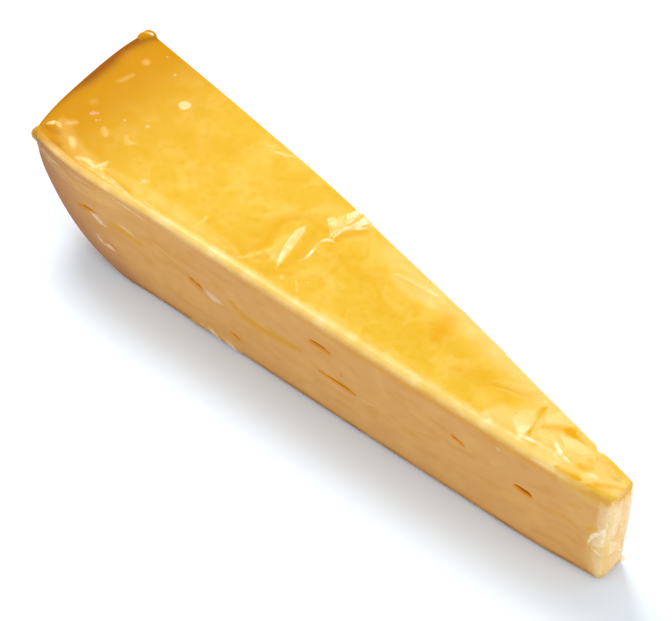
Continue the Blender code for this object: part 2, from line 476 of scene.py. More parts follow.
    def on_face(self, face: Face, first: Array, second: Array, lift: Array) -> Array:
        """Places points that stand off a face, following its rounded edges.

        Args:
            face: the face.
            first: first coordinate of the points on it.
            second: second coordinate.
            lift: how far they stand off it.

        Returns:
            The points in the wedge's own frame.
        """
        upright = (second, self.height - second)
        if face is Face.TIP:
            gaps = (*upright, first - self.near(self.length, second), self.far(self.length) - first)
        elif face is Face.TOP:
            gaps = (second - self.near(first, self.height), self.far(first) - second, self.length - first)
        else:
            gaps = (*upright, self.length - first)
        rise = lift - self.edge_drop(np.minimum.reduce(gaps))
        if face is Face.TIP:
            return np.stack((self.length + rise, first, second), axis=-1)
        if face is Face.TOP:
            return np.stack((first, second, self.height + rise), axis=-1)
        across = self.near(first, second) - rise if face is Face.NEAR else self.far(first) + rise
        return np.stack((first, across, second), axis=-1)

    def to_row(self, points: Array) -> Array:
        """Moves points from the wedge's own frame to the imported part's, in metres."""
        return (points + np.array((self.heel_along, self.heel_across, 0.0))) * MM


@dataclass
class Skin:
    """Points of a bent lattice, the coordinates of its faces and how near each face is."""

    place: Array
    along: Array
    across: Array
    height: Array
    straight: Array
    inside: Array
    outward: Array
    blend: float = 1.5

    def weight(self, face: Face) -> Array:
        """Share of a face at every point: 1 on the face, falling to 0 round its edges."""
        axis, way = face.value
        return np.where(self.outward[:, axis] == way, smooth(self.blend, 0.0, self.inside[:, axis]), 0.0)

    def coordinates(self, face: Face) -> tuple[Array, Array]:
        """The two coordinates that a face's marks are measured in."""
        first = self.across if face is Face.TIP else self.along
        return first, self.across if face in (Face.TOP, Face.BASE) else self.height

    def gather(self, marks: Sequence[Mark], value: str) -> Array:
        """Adds up one value of all marks at every point.

        Args:
            marks: the marks.
            value: which of a mark's numbers to gather: lift, milk or tint.

        Returns:
            For milk, the share covered when each mark in turn covers some of the rest; for lift
            and tint, the sum.
        """
        total = np.zeros(len(self.along))
        for mark in marks:
            amount = getattr(mark, value)
            if amount == 0.0:
                continue
            place = self.coordinates(mark.face)
            strength = mark.strength(*place)
            if value == "milk_and_highlight" and mark.facet > 0.0:
                strength = 0.5 * (strength + mark.envelope(*place))
            strength *= amount * self.weight(mark.face)
            total += strength * (1.0 - total) if value == "milk_and_highlight" else strength
        return total

    def push(self, marks: Sequence[Mark]) -> None:
        """Moves the points out by the marks' lifts, and in where a lift is below 0."""
        for face in Face:
            axis, way = face.value
            self.place[:, axis] += way * self.gather([mark for mark in marks if mark.face is face], "lift")


def make_piece(name: str, points: Array, faces: list, values: Mapping[str, Array]) -> bpy.types.Object:
    """Makes a smooth mesh object at the origin from arrays, with named numbers on its points.

    Args:
        name: the piece's name.
        points: places in metres, one row each.
        faces: point indices of every face.
        values: a number for every point, for each name.

    Returns:
        The new object, linked to the scene and riding on the part's body.
    """
    mesh = bpy.data.meshes.new(name)
    mesh.from_pydata(points.tolist(), [], faces)
    mesh.shade_smooth()
    for label, numbers in values.items():
        layer = mesh.attributes.new(label, "FLOAT", "POINT")
        layer.data.foreach_set("value", np.ascontiguousarray(numbers, dtype=np.float32))
    piece = bpy.data.objects.new(name, mesh)
    bpy.context.scene.collection.objects.link(piece)
    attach(piece, BODY)
    return piece


class Signal:
    """A shader socket that takes part in Python arithmetic."""

    def __init__(self, graph: "ShaderGraph", socket: bpy.types.NodeSocket) -> None:
        """Keeps the socket and the graph that it belongs to."""
        self.graph = graph
        self.socket = socket

    def __add__(self, other: "Signal | float") -> "Signal":
        """Sum."""
        return self.graph.math("ADD", self, other)

    def __radd__(self, other: float) -> "Signal":
        """Sum, from the right."""
        return self.graph.math("ADD", other, self)

    def __mul__(self, other: "Signal | float") -> "Signal":
        """Product."""
        return self.graph.math("MULTIPLY", self, other)

    def __rmul__(self, other: float) -> "Signal":
        """Product, from the right."""
        return self.graph.math("MULTIPLY", other, self)

    def clamp(self) -> "Signal":
        """The value held between 0 and 1."""
        return self.graph.math("MINIMUM", self.graph.math("MAXIMUM", self, 0.0), 1.0)

    def rise(self, low: float, high: float) -> "Signal":
        """A smooth S from 0 at low to 1 at high."""
        inputs = {"Value": self, "From Min": low, "From Max": high}
        node = self.graph.node("ShaderNodeMapRange", {"interpolation_type": "SMOOTHSTEP"}, inputs)
        return Signal(self.graph, node.outputs["Result"])


class ShaderGraph:
    """The nodes of one material."""

    def __init__(self, name: str) -> None:
        """Makes an empty material."""
        self.material = bpy.data.materials.new(name)
        self.material.use_nodes = True
        self.material.node_tree.nodes.clear()

    def node(
        self, kind: str, settings: Mapping[str, object], inputs: Mapping[object, object]
    ) -> bpy.types.Node:
        """Adds a node, sets its settings and then its sockets.

        Args:
            kind: the node's type.
            settings: attributes, set first.
            inputs: values or links of its sockets, by name or index.

        Returns:
            The node.
        """
        made = self.material.node_tree.nodes.new(kind)
        for label, value in settings.items():
            setattr(made, label, value)
        for label, value in inputs.items():
            socket = made.inputs[label]
            if isinstance(value, Signal):
                self.material.node_tree.links.new(value.socket, socket)
            else:
                socket.default_value = value
        return made

    def math(self, operation: str, first: "Signal | float", second: "Signal | float") -> Signal:
        """A Math node on two numbers."""
        made = self.node("ShaderNodeMath", {"operation": operation}, {0: first, 1: second})
        return Signal(self, made.outputs[0])

    def number(self, name: str) -> Signal:
        """A number that the piece carries on its points."""
        settings = {"attribute_type": "GEOMETRY", "attribute_name": name}
        return Signal(self, self.node("ShaderNodeAttribute", settings, {}).outputs["Fac"])

    def place(self) -> Signal:
        """The point's place in metres, in the part's frame."""
        return Signal(self, self.node("ShaderNodeTexCoord", {}, {}).outputs["Object"])

    def stretched(self, scale: Triple) -> Signal:
        """The point's place times a scale for each axis."""
        inputs = {"Vector": self.place(), "Scale": scale}
        return Signal(self, self.node("ShaderNodeMapping", {}, inputs).outputs["Vector"])

    def noise(self, vector: Signal, scale: float, detail: float, warp: float = 0.0) -> Signal:
        """Noise from 0 to 1 at a number of cells for each metre."""
        inputs = {"Vector": vector, "Scale": scale, "Detail": detail, "Distortion": warp}
        return Signal(self, self.node("ShaderNodeTexNoise", {}, inputs).outputs["Fac"])

    def mix(self, factor: "Signal | float", first: object, second: object) -> Signal:
        """A colour between two, each a screen colour or a signal."""
        ends = [end if isinstance(end, Signal) else linear(end) for end in (first, second)]
        made = self.node("ShaderNodeMix", {"data_type": "RGBA"}, {0: factor, 6: ends[0], 7: ends[1]})
        return Signal(self, made.outputs[2])

    def layered(self, base: object, layers: Sequence[tuple[Signal, object]]) -> Signal:
        """A base colour covered by each layer's colour in turn, by the layer's share."""
        for share, colour in layers:
            base = self.mix(share, base, colour)
        return base

    def bump(self, height: Signal, strength: float, distance: float) -> Signal:
        """A normal tilted by a height in metres."""
        inputs = {"Height": height, "Strength": strength, "Distance": distance}
        return Signal(self, self.node("ShaderNodeBump", {}, inputs).outputs["Normal"])

    def surface(self, inputs: Mapping[object, object]) -> bpy.types.Material:
        """Ends the graph in a Principled shader.

        Args:
            inputs: values or links of its sockets.

        Returns:
            The finished material.
        """
        shader = self.node("ShaderNodeBsdfPrincipled", {}, inputs)
        self.node("ShaderNodeOutputMaterial", {}, {"Surface": Signal(self, shader.outputs["BSDF"])})
        return self.material


@dataclass(frozen=True)
class PasteFinish:
    """Smooth hard-cheese paste: golden on top, tan on the cuts, orange-brown near the rind, with painted
    shade in the film's creases and down in the slits.
    """

    gold: Colour = (218, 174, 50)
    light_gold: Colour = (224, 184, 76)
    deep_gold: Colour = (213, 162, 22)
    amber: Colour = (194, 134, 0)
    heel_brown: Colour = (144, 80, 4)
    cut: Colour = (217, 162, 98)
    cut_warm: Colour = (212, 152, 80)
    cut_pale: Colour = (224, 172, 104)
    cut_band: Colour = (220, 154, 46)
    cut_heel: Colour = (172, 120, 84)
    rind: Colour = (174, 104, 30)
    rind_dark: Colour = (138, 72, 18)
    # Painted shade down in the slits: deeper orange, then dark brown at their deepest.
    eye: Colour = (228, 144, 8)
    eye_core: Colour = (140, 66, 2)
    # Painted shade where the film's valleys and creases fall in shade, browner towards the heel.
    crease_shade: Colour = (216, 157, 22)
    heel_crease_shade: Colour = (172, 106, 0)

    def material(self, name: str) -> bpy.types.Material:
        """Builds the paste's shader.

        Gold with broad soft mottling on the top face, browner towards the heel; tan with faint
        long streaks on the cuts, brown along the foot; the rind's pitted brown on heel and base;
        painted shade in the film's creases and down in the slits.

        Args:
            name: the material's name.

        Returns:
            The material.
        """
        graph = ShaderGraph(name)
        place = graph.place()
        broad = graph.noise(place, scale=130.0, detail=3.0, warp=0.4)
        fine = graph.noise(place, scale=420.0, detail=2.0, warp=0.2)
        patches = graph.noise(place, scale=70.0, detail=2.0, warp=0.8)
        streaks = graph.noise(graph.stretched((0.3, 1.0, 1.0)), scale=260.0, detail=3.0, warp=0.8)
        holes = graph.noise(place, scale=560.0, detail=4.0, warp=1.2)
        heel = graph.number("heel")
        eye = graph.number("eye")
        gold = graph.layered(self.gold, (
            (broad.rise(0.42, 0.66) * 0.9, self.light_gold),
            (patches.rise(0.55, 0.72) * 0.4, self.deep_gold),
            (fine.rise(0.48, 0.75) * 0.5, self.deep_gold),
            (heel.rise(0.0, 0.62), self.amber),
            (heel.rise(0.62, 1.0), self.heel_brown),
        ))
        pits = holes.rise(0.46, 0.66) * 0.55 + broad.rise(0.4, 0.7) * 0.3
        rind = graph.mix(pits, self.rind, self.rind_dark)
        # Painted shade for the film's creases, browner towards the heel.
        crease_shade = graph.mix(heel.rise(0.25, 0.6), self.crease_shade, self.heel_crease_shade)
        colour = graph.layered(self.cut, (
            (streaks.rise(0.42, 0.72) * 0.7, self.cut_warm),
            (broad.rise(0.45, 0.7) * 0.6, self.cut_pale),
            (heel.rise(0.15, 0.75), self.cut_heel),
            (graph.number("band"), self.cut_band),
            (graph.number("foot"), rind),
            (graph.number("top"), gold),
            (graph.number("rind"), rind),
            # Painted shade: deeper gold under the film's valleys and creases.
            (graph.number("valley_shade").clamp(), crease_shade),
            # Painted shade: the slits darken with their depth.
            (eye.rise(0.02, 0.5), self.eye),
            (eye.rise(0.5, 0.95) * 0.8, self.eye_core),
        ))
        waves = graph.noise(place, scale=90.0, detail=1.0)
        height = graph.noise(place, scale=420.0, detail=3.0) + waves * 2.0
        return graph.surface({
            "Base Color": colour,
            "Roughness": 0.6,
            "Specular IOR Level": 0.008,
            "Subsurface Weight": 0.08,
            "Subsurface Radius": (1.0, 0.6, 0.2),
            "Subsurface Scale": 0.003,
            "Coat Weight": 0.025,
            "Coat Roughness": 0.12,
            "Coat IOR": 1.4,
            "Normal": graph.bump(height, strength=0.3, distance=0.0003),
        })


@dataclass(frozen=True)
class FilmFinish:
    """Clear glossy cling film that turns creamy where it is milky or creased, and a painted highlight's
    white where it is sharp; on the cuts' folds a painted reflection turns it bluish white.

    Film this thin lets the light through, so a piece dressed in it casts no shadow.
    """

    clear: Colour = (250, 204, 88)
    cream: Colour = (244, 208, 130)
    # Painted highlight on the sharpest creases.
    white: Colour = (254, 234, 186)
    # Painted reflection of the white surroundings on the cuts' folds.
    cool_reflection: Colour = (250, 238, 228)
    haze: float = 0.01
    patch: float = 0.025
    cover: float = 0.92

    def material(self, name: str) -> bpy.types.Material:
        """Builds the film's shader: a little haze everywhere, and cover where the film is milky or carries
        a painted highlight.

        Args:
            name: the material's name.

        Returns:
            The material.
        """
        graph = ShaderGraph(name)
        place = graph.place()
        milk_and_highlight = graph.number("milk_and_highlight")
        wrinkle = graph.noise(place, scale=700.0, detail=2.0, warp=0.5)
        patches = graph.noise(place, scale=170.0, detail=2.0, warp=1.2).rise(0.56, 0.8)
        alpha = milk_and_highlight * self.cover * (0.8 + wrinkle * 0.4) + patches * self.patch + self.haze
        # Cream where the film is milky, turning to a painted highlight's white where it is milkiest.
        colour = graph.mix(milk_and_highlight.rise(0.0, 0.45), self.clear, self.cream)
        colour = graph.mix(milk_and_highlight.rise(0.6, 1.0), colour, self.white)
        return graph.surface({
            # Painted reflection whitens the cuts' folds.
            "Base Color": graph.mix(graph.number("cool_reflection"), colour, self.cool_reflection),
            "Roughness": 0.2,
            "IOR": 1.45,
            "Specular IOR Level": 0.3,
            "Alpha": alpha.clamp(),
            "Normal": graph.bump(wrinkle, strength=0.2, distance=0.0002),
        })

    def dress(self, piece: bpy.types.Object, material: bpy.types.Material) -> None:
        """Gives a piece the film's material and lets the light through it to the paste."""
        piece.data.materials.append(material)
        piece.visible_shadow = False
        piece.visible_diffuse = False


def rows(kind: type, face: Face, table: Sequence[tuple]) -> tuple:
    """Makes one mark, fold or facet on a face of each row, which holds its other values in order."""
    return tuple(kind(face, *row) for row in table)


# Each row of a mark is its path, half width, lift, how milky it makes the film (partly a painted
# highlight), how much painted shade it puts on the paste and softness, then the facets' size,
# angle and seed.
MARKS = rows(Mark, Face.TOP, (
    (((75.6, -11.4), (77.4, -4), (76.4, 4.2)), 3, 0.45, 0.1),
    (((68.9, -15.8), (73.4, -11.4), (74.2, -6.5), (72.6, 1.3), (75.5, 6.5), (83.4, 7)), 1.9, -0.1, 0, 0.6),
    (((66, -14.5), (70.5, -10), (70.8, 0), (73.5, 8.6)), 2.4, 0, 0, 0.3),
    (((83, -9.5), (83.2, -2.5), (81, 5.2)), 3.2, -0.08, 0, 0.5),
    (((85.6, 5), (86.6, 8), (88.6, 12), (91, 15)), 2.2, -0.1, 0, 0.75),
    (((86.4, 4.6), (87, 7)), 1.5, 0, 0, 0.5),
    (((86, 2), (94, 4)), 4.5, 0, 0, 0.25),
    (((78.5, -14.2), (83.5, -11.5), (86.5, -8.5)), 1.6, 0, 0, 0.6),
    (((82.2, 9), (85.6, 13.5), (86.4, 18)), 4.6, 0.5, 0.34, 0, 0.9),
    (((74, -13), (79, -8)), 3.4, 0.2, 0.2, 0, 0.7, 4.4, 40, 9),
    (((85.7, 11), (86.9, 16.6)), 0.8, 0, 0, 0.95, 0.7),
    (((85, -11.7),), 1, 0, 0.3, 0, 0.7),
    (((57.4, -13.4), (57.1, -11.2)), 0.9, 0.2, 0.35),
    (((105.5, 9.5), (110.5, 10.6), (118.5, 11.6)), 1.5, 0.25, 0.3),
    (((118.5, -0.8), (117.4, 3), (116.6, 5.3)), 0.9, 0.2, 0.15),
    (((144, -3), (154, -2.4)), 5, 0, 0.16),
    (((106, 8), (112, 7.4), (120, 8.8)), 3, 0, 0.3),
    (((126.8, 1), (125.1, 10.5)), 4.8, 0, 0, 0.85),
    (((136, -2), (146, 3)), 4, 0, 0, 0.4),
    (((96, 2), (104, 6)), 3.6, 0, 0, 0.35),
    (((144, -1.6), (149.2, 1.7), (154.3, 3.7), (159.5, 6.2)), 0.9, -0.1, 0, 0.5, 0.7),
    (((146, 2), (152, 5), (157, 7.6)), 1.8, 0.25, 0.12),
    (((152, -6), (162, -1), (178, 0), (192, -1)), 8, 0.25, 0.5, 0, 0.9),
    (((161, 5.4), (161.6, 0.6), (163.4, -4)), 1.7, -0.1, -0.6, 0.6),
    (((160.4, -4), (163, -3)), 1.5, 0, -0.4, 0.5),
    (((164, 0), (168.1, 2.9), (176, 4.6)), 2.4, -0.1, -0.6, 0.7),
    (((169, 3.6), (172.4, 4.6)), 2.6, 0, -0.5, 0.7),
    (((163, -1.6), (172, 0)), 1.6, 0, -0.2, 0.2),
    (((174, -6.3), (178.7, -5.4), (181, -4.8)), 2, -0.1, -0.6, 0.75),
    (((177.6, -2.2), (179.4, -1.8), (181.4, -0.3)), 1.8, -0.1, -0.6, 0.6),
    (((178.4, 0.6), (180.6, 0.9)), 1.4, 0, -0.5, 0.55),
    (((184, -3.6), (188, -1.4), (191, 0.6)), 1.4, 0, -0.4, 0.6),
    (((180, 2.8), (184, 3.2), (187.6, 1.4)), 3.2, 0.7, -0.25, 0.25),
    (((183, -5), (188, -3.6), (192, -3)), 1.8, 0, -0.3, 0.35),
    (((182, -6.2), (185.6, -2.9), (190.6, 0.4)), 0.8, -0.1, 0, 0.7, 0.7),
    (((4, -15), (12, -19), (26, -20)), 3.6, 0.2, 0.2, 0, 0.7, 2.2, 65),
    (((2, -20.4), (4.5, -19.6), (8.2, -19.1)), 1.3, 0, 0, 0.8),
    (((7.5, -22.6), (10.4, -22.2), (11, -20.6)), 1.5, 0, 0, 0.9),
    (((16.2, -18), (19, -17), (20.4, -13.8)), 1.8, 0, 0, 0.6),
    (((17, -21.8), (19.7, -20.3), (23.4, -20.5)), 1.1, 0.15, 0.5),
    (((22.4, -21.4), (23.7, -19.4), (24.5, -16.4)), 1.2, 0.15, 0.45),
    (((10.5, -17.7), (12, -18.2), (14.3, -19.7)), 1.3, 0.1, 0.4),
    (((6.2, -15.3), (8.2, -13.1)), 1.8, 0.1, 0.26),
    (((14.7, -9.4), (17.7, -10.9)), 1.5, 0.1, 0.3),
    (((21.4, -7), (23, -8.2), (25.6, -7.2)), 1.1, 0.1, 0.26),
    (((26, -18.5), (48, -16), (72, -14)), 2.8, 0.15, 0.2, 0, 0.7, 2.2, 80),
    (((96, -13), (124, -9.6), (154, -7.6)), 2.4, 0.12, 0.16, 0, 0.7, 2.4, 80),
    (((5.4, 14.4), (6.6, 15.4)), 2.2, 0, 0.26),
    (((5.6, 4.4), (6.3, 7.6), (6.7, 9.8)), 1.2, 0, 0.2),
    (((6, -5),), 2, 0, 0.12),
    (((23.1, -0.8),), 1.1, 0, 0.3),
    (((35, -15.2), (37.4, -14)), 1.3, 0, 0.32),
)) + rows(Mark, Face.NEAR, (
    (((3, 35), (14, 31.5), (34, 32.5)), 3.6, 0.25, 0.2, 0, 0.7, 3.2, 80),
    (((4, 22), (10, 12), (18, 5)), 3.4, 0.2, 0.12, 0, 0.7, 2.6, 35),
    (((31, 23), (36, 22.4), (42, 21.4)), 2.2, -0.3, 0, 0.75),
    (((44.6, 25.9), (55.8, 22.8)), 1, -0.12, 0, 0.45),
    (((72, 21.9), (77.4, 18.8), (91.2, 19.7), (96.4, 20.3)), 2.4, -0.4, 0, 0.75),
    (((58, 1.6), (67, 2.6), (76, 1.8)), 1.9, 0.35, 0.4, 0, 0.7, 2, 70),
    (((131.6, 15.3), (136.1, 14.3)), 0.5, -0.15, 0, 0.4, 0.7),
    (((174, 20), (176.9, 20.1), (182.8, 18.5)), 0.9, -0.15, 0, 0.6),
    (((179.2, 26.4), (183.5, 27.7)), 1, -0.15, 0, 0.5),
    (((185, 19.6), (188.3, 22.2)), 1.6, -0.2, 0, 0.8),
    (((176, 35.6), (183, 33.6), (190, 34.6)), 4.6, 0.3, 0.3, 0.45, 1, 4.4),
    (((168, 36.8), (176, 36.4), (184, 36.8)), 1.8, 0, 0.2, 0.5),
    (((192.4, 38), (191.4, 26), (189.4, 14), (190.4, 1)), 5.6, 0.2, 0.8, 0, 1, 8, 15),
)) + rows(Mark, Face.FAR, (
    (((178.6, 38), (179, 29)), 2.6, -0.9),
    (((191, 30), (191, 20), (191, 2)), 3.6, 0, 0.5),
)) + rows(Mark, Face.TIP, (
    (((0, 34), (0, 18), (0, -3)), 8, 0.2, 0.5, 0, 0.4),
)) + rows(Mark, Face.BASE, (
    (((14, 4), (60, -2), (120, 2), (176, -1)), 0.9, 0, 0.5, 0, 0.8),
    (((18, 8), (70, 3), (130, 4)), 3, 0, 0.24, 0, 1, 2.6, 70),
))
# The slits in the near cut, which the far cut repeats.
EYES = rows(Mark, Face.NEAR, (
    (((19.5, 22.3), (25.2, 23.1)), 0.85, -0.8, 0, 0, 0.7),
    (((26.4, 13.9), (32.1, 11.2)), 0.8, -0.6, 0, 0, 0.7),
    (((57.7, 20.4), (63, 19.1)), 0.8, -0.7, 0, 0, 0.7),
    (((71.8, 7.6), (75.6, 6.4)), 0.7, -0.6, 0, 0, 0.7),
    (((98.9, 27.7), (106, 27.2)), 1, -0.9, 0, 0, 0.7),
    (((108.6, 20.8), (110.2, 20.9)), 0.5, -0.5, 0, 0, 0.7),
    (((102.4, 16.7), (114.2, 16.1)), 0.85, -0.8, 0, 0, 0.7),
    (((144, 25.1), (148.3, 24)), 0.7, -0.6, 0, 0, 0.7),
    (((164, 20.8), (169.4, 20.1)), 1.55, -0.85, 0, 0, 0.8),
))


@dataclass(frozen=True)
class Fold:
    """A creased fold or pleat of film that stands on one face along a path.

    Its section climbs gently from one foot to a crest and drops to the other foot; crest is the
    crest's place between the feet, from -1 to 1, to the left of the path. The film is milky on
    the gentle side, partly as a painted highlight, and clears beyond the crest.
    """

    face: Face
    path: Path
    half_width: float
    height: float
    milk_and_highlight: float
    crest: float = 0.45
    wobble: float = 0.12


@dataclass(frozen=True)
class Facet:
    """A flat patch of lifted film with a crisp many-sided outline, milky and partly a painted highlight,
    milkier to one side.

    The patch is a star: its points lie between a centre and the outline, and its height falls
    off from the centre as one less a power of the share of the way. fade is how much milkier it
    gets for each millimetre along the face's two directions.
    """

    face: Face
    corners: Path
    height: float
    milk_and_highlight: float
    fade: Pair = (0.0, 0.0)


# Each row of a facet is its corners, height, how milky it is (partly a painted highlight) and fade.
FACETS = rows(Facet, Face.TOP, (
    (((82.2, -11.4), (80.2, -8.8), (78.6, -5.1), (77.5, -0.9), (76.9, 2.7), (77.3, 5.6), (79, 3.9),
     (79.6, 1.2), (80.6, -2.3), (81.4, -5.9), (82.1, -9)), 0.16, 0.74, (-0.1, 0)),
    (((75.6, -9.2), (76.6, -5.6), (78.5, -5), (81.2, -9.9)), 0.12, 0.3, (0.1, 0)),
    (((79.9, 10.4), (80.7, 12), (82, 12), (83.4, 11.4), (85.7, 7.8), (84, 7.1), (82.4, 8.2)), 0.08, 0.64,
     (-0.12, 0.05)),
    (((84.6, 9.2), (84, 7), (85, 5.6), (86, 7.2), (86, 10.6)), 0.15, 0.5, (0.1, 0)),
    (((81.7, 12.6), (82.8, 14.6), (84.1, 12.4), (84.7, 10.1), (83.6, 11.3)), 0.15, 0.6, (0.1, 0)),
    (((82.7, 14.4), (84, 18.6), (86.2, 18.6), (85.5, 15.5), (84.7, 12.6)), 0.2, 0.84, (-0.1, 0.05)),
    (((86.1, 10.6), (86.7, 14), (87, 18), (89.6, 17), (88.4, 13.5)), 0.2, 0.84, (0.15, 0.05)),
    (((85.6, 18.2), (88.2, 17.9), (91.8, 17.2), (89.8, 15.2), (87.6, 16.4)), 0.15, 0.36),
    (((73.2, -15.4), (75.4, -12.4), (76.2, -9), (73, -12)), 0.12, 0.26),
    (((160.6, -6), (156.6, -3), (156.8, 0.6), (159.6, 3.4), (161.6, 2), (162.6, -2.1), (162.9, -5.4)), 0.12,
     0.6, (0.1, -0.12)),
    (((162.3, 3.2), (164.2, 7.4), (168.4, 7.6), (170.6, 5.9), (167.2, 3.8), (164.2, 0.8)), 0.15, 0.5,
     (-0.08, 0)),
    (((170.4, 5.6), (172.8, 6.8), (176.8, 5.4), (175, 3.7), (171.8, 4)), 0.15, 0.4, (0.05, 0.1)),
    (((168.7, 1.2), (172.8, 3.2), (179.2, 3.4), (177.3, 0.5), (172.5, -1.2)), 0.15, 0.56, (0, 0.1)),
    (((163.7, -0.4), (165.6, 0.7), (171.4, -0.4), (174.6, -2.2), (167.6, -1.8), (164.6, -3)), 0.12, 0.34,
     (0, -0.2)),
    (((166, -3.4), (171.8, -2.8), (176.8, -3.3), (172.4, -5.6), (166.4, -6.2)), 0.12, 0.36, (0, 0.15)),
    (((180, -4), (181.2, -1.8), (184.8, -2), (183, -3.8)), 0.12, 0.5, (0, 0.1)),
    (((52, 15.8), (55.4, 18.1), (60.8, 20.4), (57.6, 17.2)), 0.15, 0.4),
    (((17.4, -21.4), (19.2, -19.6), (21.8, -19.4), (23, -21)), 0.08, 0.36),
    (((22.9, -20.8), (23.4, -18.4), (24.7, -16.2), (25.6, -18.4), (26.4, -20.4)), 0.08, 0.32),
    (((10.2, -17.4), (12.4, -17.2), (14.6, -19.4), (13.4, -20.6), (11.2, -19.2)), 0.08, 0.3),
)) + rows(Facet, Face.NEAR, (
    (((187.6, 35.8), (191.4, 34), (190.8, 25), (188, 22.4), (187.2, 29)), 0.15, 0.42, (0.3, 0)),
    (((188.4, 24), (190.8, 25), (190.8, 16), (186.9, 13.4), (187.2, 18.5)), 0.18, 0.66, (0.15, 0)),
    (((187, 13.2), (190.8, 15.6), (191.2, 2), (189.6, 3.4), (188, 9)), 0.15, 0.34, (0.3, 0)),
    (((23, 23.2), (26.4, 23.2), (30.2, 20.1), (26.8, 20.1)), 0.12, 0.42),
    (((24.8, 14.4), (26.6, 14.2), (28.4, 12.2), (26.6, 12)), 0.1, 0.3),
    (((28, 12.6), (30.4, 13.2), (32.6, 11.4), (30, 11)), 0.1, 0.3),
    (((33.6, 25.6), (36.4, 25.6), (41, 23.2), (37.4, 24)), 0.1, 0.3),
    (((62.6, 20.4), (66.6, 20.6), (70.8, 18.6), (66.8, 17.2)), 0.1, 0.28),
    (((64.2, 4), (66.6, 3.4), (69.4, 1), (65.6, 1)), 0.15, 0.34),
    (((69.8, 3.2), (73, 2.8), (75.8, 1), (71.4, 0.9)), 0.15, 0.3),
)) + rows(Facet, Face.TIP, (
    (((-4.2, 37.2), (-1, 37.2), (-0.5, 26), (-2.2, 18), (-4.3, 22)), 0.3, 0.5, (-0.1, 0)),
    (((-0.5, 36.9), (4.1, 37.1), (3.9, 27), (0.8, 22), (-0.6, 26)), 0.3, 0.36, (0.1, 0)),
    (((-4.3, 20.6), (-2, 17.2), (1.7, 12.7), (2, 9), (-4.2, 11.6)), 0.3, 0.5, (0, 0.04)),
    (((0.8, 21.5), (4, 26.2), (4, 13.4), (1.6, 12.5)), 0.25, 0.36, (0.1, 0)),
    (((-4.2, 11.2), (1.8, 8.4), (3.6, 3.4), (0.5, 0.8), (-4.1, 1)), 0.3, 0.4, (0, -0.04)),
))
